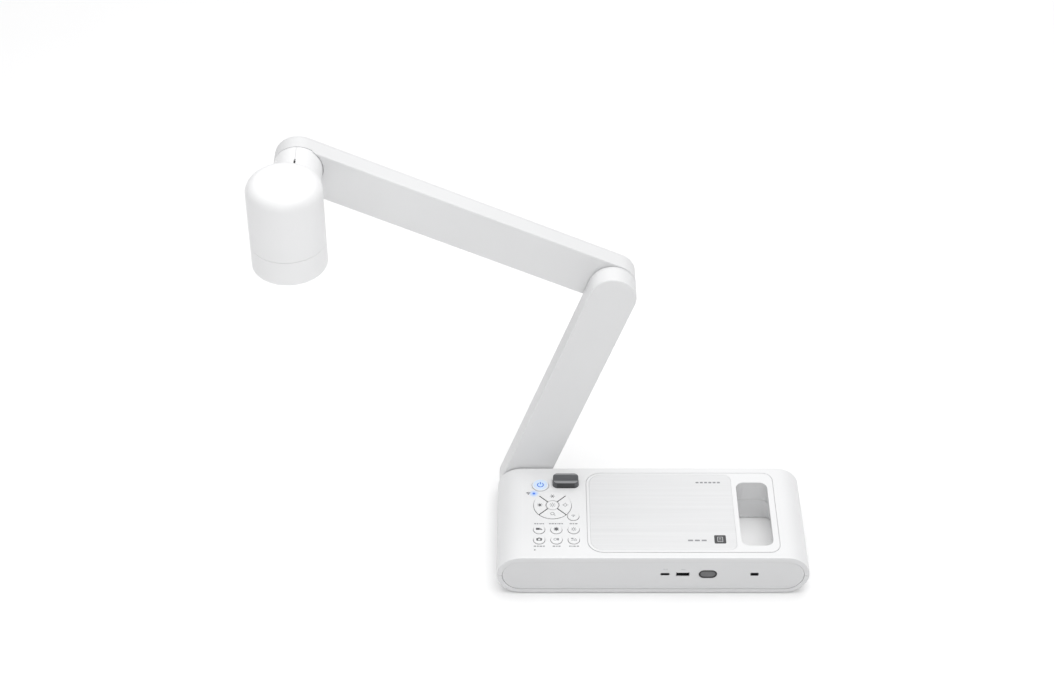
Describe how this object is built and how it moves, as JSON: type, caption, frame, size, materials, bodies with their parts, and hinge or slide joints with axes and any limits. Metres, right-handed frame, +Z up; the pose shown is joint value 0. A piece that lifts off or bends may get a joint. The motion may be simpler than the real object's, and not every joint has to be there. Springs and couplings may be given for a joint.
{
  "type": "document camera",
  "caption": "Desktop document camera: flat base with control keys and a carry opening, folding two-part arm, and a cylindrical head that rolls to either side.",
  "frame": {"origin": "middle of the whole camera's footprint on the desk, at the bottom of the rubber feet", "axes": "+X along the base to the user's right, +Y away from the user, +Z up"},
  "size_m": [0.51, 0.169, 0.4608],
  "materials": {
    "white_shell": "satin moulded plastic with a very fine grain",
    "white_plate": "satin moulded plastic, slightly greyer than the shells",
    "brushed_white": "pale metal sheet with fine brushed lines along X",
    "key_white": "smooth key plastic",
    "key_grey": "dark grey satin plastic",
    "light_ring": "clear blue light guide",
    "lamp_blue": "clear blue lamp",
    "rubber": "matt rubber",
    "steel": "turned steel",
    "zinc": "zinc plated steel",
    "aluminium": "milled aluminium",
    "brass": "sintered bronze",
    "pcb": "green circuit board",
    "silicone": "translucent silicone",
    "connector_metal": "plated connector shell",
    "smoked": "smoked infrared window",
    "bezel_grey": "dark grey bezel",
    "lens_face": "black gloss face",
    "glass": "coated cover glass",
    "lamp_clear": "frosted lamp cover",
    "barrel_black": "black anodised barrel"
  },
  "bodies": {
    "base": {"base_upper_casing": "white_shell", "base_lower_casing": "white_shell", "casing_screws": "zinc", "rubber_feet": "rubber", "front_plate": "white_plate", "rear_plate": "white_plate", "usb_c_port": "connector_metal", "usb_a_port": "connector_metal", "receiver_bezel": "bezel_grey", "receiver_window": "smoked", "lock_slot_insert": "steel", "rear_sockets": "connector_metal", "main_board": "pcb", "ballast_plate": "zinc", "keypad_board": "pcb", "keypad_membrane": "silicone", "status_lamp": "lamp_blue", "top_inlay": "white_shell", "brushed_sheet": "brushed_white", "hinge_bracket": "zinc", "hinge_bush": "brass"},
    "lower_arm": {"base_hinge_shaft": "steel", "lower_arm_front_cover": "white_plate", "lower_arm_rear_cover": "white_shell", "lower_arm_frame": "aluminium", "lower_arm_screws": "zinc"},
    "upper_arm": {"elbow_shaft": "steel", "upper_arm_front_cover": "white_plate", "upper_arm_rear_cover": "white_shell", "upper_arm_frame": "aluminium", "upper_arm_screws": "zinc"},
    "neck": {"neck_left_shell": "white_shell", "neck_right_shell": "white_shell", "neck_core": "aluminium"},
    "head": {"head_collar": "white_shell", "roll_shaft": "steel", "head_top_shell": "white_shell", "head_lower_shell": "white_shell", "head_frame": "aluminium", "lens_face_plate": "lens_face", "lens_window": "glass", "lens_barrel": "barrel_black", "sensor_board": "pcb", "lamp_window": "lamp_clear"},
    "release_key": {"release_key": "key_grey", "release_latch": "steel"},
    "power_button": {"power_button": "key_white", "power_light_ring": "light_ring"},
    "menu_button": {"menu_button": "key_white"},
    "ok_button": {"ok_button": "key_white"},
    "nav_up_key": {"nav_up_key": "key_white"},
    "nav_down_key": {"nav_down_key": "key_white"},
    "nav_left_key": {"nav_left_key": "key_white"},
    "nav_right_key": {"nav_right_key": "key_white"},
    "button_upper_left": {"button_upper_left": "key_white"},
    "button_upper_middle": {"button_upper_middle": "key_white"},
    "button_upper_right": {"button_upper_right": "key_white"},
    "button_lower_left": {"button_lower_left": "key_white"},
    "button_lower_middle": {"button_lower_middle": "key_white"},
    "button_lower_right": {"button_lower_right": "key_white"}
  },
  "joints": [
    {"name": "base_hinge", "type": "hinge", "parent": "base", "child": "lower_arm", "pos_m": [-0.02125, 0.04, 0.02475], "axis": [0, -1, 0], "range_deg": [-70.4, 20]},
    {"name": "elbow_hinge", "type": "hinge", "parent": "lower_arm", "child": "upper_arm", "pos_m": [0.0638, 0.0635, 0.2636], "axis": [0, 1, 0], "range_deg": [-60, 60]},
    {"name": "neck_hinge", "type": "hinge", "parent": "upper_arm", "child": "neck", "pos_m": [-0.222, 0.066, 0.3965], "axis": [0, 1, 0], "range_deg": [-90, 90]},
    {"name": "head_roll", "type": "hinge", "parent": "neck", "child": "head", "pos_m": [-0.222, -0.0038, 0.3965], "axis": [0, 1, 0], "range_deg": [-90, 90]},
    {"name": "release_press", "type": "slide", "parent": "base", "child": "release_key", "axis": [0, 0, -1], "range_m": [0, 0.0025], "stiffness_N_per_m": 1600},
    {"name": "power_press", "type": "slide", "parent": "base", "child": "power_button", "axis": [0, 0, -1], "range_m": [0, 0.0006], "stiffness_N_per_m": 3000},
    {"name": "menu_press", "type": "slide", "parent": "base", "child": "menu_button", "axis": [0, 0, -1], "range_m": [0, 0.0006], "stiffness_N_per_m": 3000},
    {"name": "ok_press", "type": "slide", "parent": "base", "child": "ok_button", "axis": [0, 0, -1], "range_m": [0, 0.0006], "stiffness_N_per_m": 3000},
    {"name": "nav_up_press", "type": "slide", "parent": "base", "child": "nav_up_key", "axis": [0, 0, -1], "range_m": [0, 0.0006], "stiffness_N_per_m": 3000},
    {"name": "nav_down_press", "type": "slide", "parent": "base", "child": "nav_down_key", "axis": [0, 0, -1], "range_m": [0, 0.0006], "stiffness_N_per_m": 3000},
    {"name": "nav_left_press", "type": "slide", "parent": "base", "child": "nav_left_key", "axis": [0, 0, -1], "range_m": [0, 0.0006], "stiffness_N_per_m": 3000},
    {"name": "nav_right_press", "type": "slide", "parent": "base", "child": "nav_right_key", "axis": [0, 0, -1], "range_m": [0, 0.0006], "stiffness_N_per_m": 3000},
    {"name": "upper_left_press", "type": "slide", "parent": "base", "child": "button_upper_left", "axis": [0, 0, -1], "range_m": [0, 0.0006], "stiffness_N_per_m": 3000},
    {"name": "upper_middle_press", "type": "slide", "parent": "base", "child": "button_upper_middle", "axis": [0, 0, -1], "range_m": [0, 0.0006], "stiffness_N_per_m": 3000},
    {"name": "upper_right_press", "type": "slide", "parent": "base", "child": "button_upper_right", "axis": [0, 0, -1], "range_m": [0, 0.0006], "stiffness_N_per_m": 3000},
    {"name": "lower_left_press", "type": "slide", "parent": "base", "child": "button_lower_left", "axis": [0, 0, -1], "range_m": [0, 0.0006], "stiffness_N_per_m": 3000},
    {"name": "lower_middle_press", "type": "slide", "parent": "base", "child": "button_lower_middle", "axis": [0, 0, -1], "range_m": [0, 0.0006], "stiffness_N_per_m": 3000},
    {"name": "lower_right_press", "type": "slide", "parent": "base", "child": "button_lower_right", "axis": [0, 0, -1], "range_m": [0, 0.0006], "stiffness_N_per_m": 3000}
  ]
}
